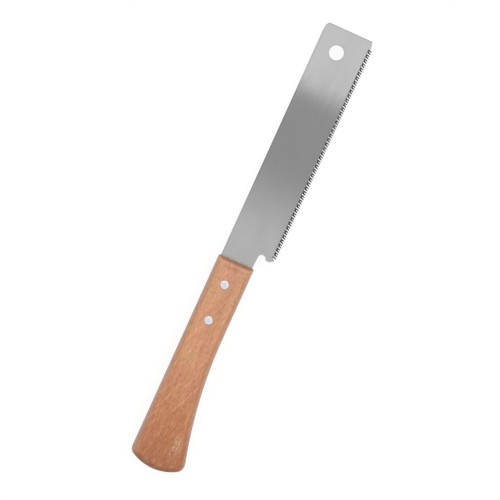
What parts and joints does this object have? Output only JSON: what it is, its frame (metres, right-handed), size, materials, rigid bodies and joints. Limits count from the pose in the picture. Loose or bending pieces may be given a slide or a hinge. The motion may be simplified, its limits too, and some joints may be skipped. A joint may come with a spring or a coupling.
{
  "type": "flush-cut pull saw",
  "caption": "Short hand saw that cuts on the pull stroke: thin fine-toothed plate with a hang hole at its square toe, riveted into a wooden handle that flares at the butt.",
  "frame": {"origin": "middle of the bounding box in plan, at the height of the handle's lower flat face", "axes": "+X from the butt of the handle to the toe of the blade, +Z normal to the blade's faces, and the teeth on the -Y side"},
  "size_m": [0.267, 0.0312, 0.017],
  "materials": {
    "beech": "steamed beech under a thin satin lacquer, straight grain along the handle with short dark flecks",
    "spring_steel": "bare rolled spring steel with a fine satin finish, its teeth darkened by hardening",
    "rivet_aluminium": "bright soft aluminium, hammered and sanded flush"
  },
  "bodies": {
    "root": {"handle": "beech", "blade": "spring_steel", "rivet_front": "rivet_aluminium", "rivet_rear": "rivet_aluminium"}
  },
  "joints": []
}
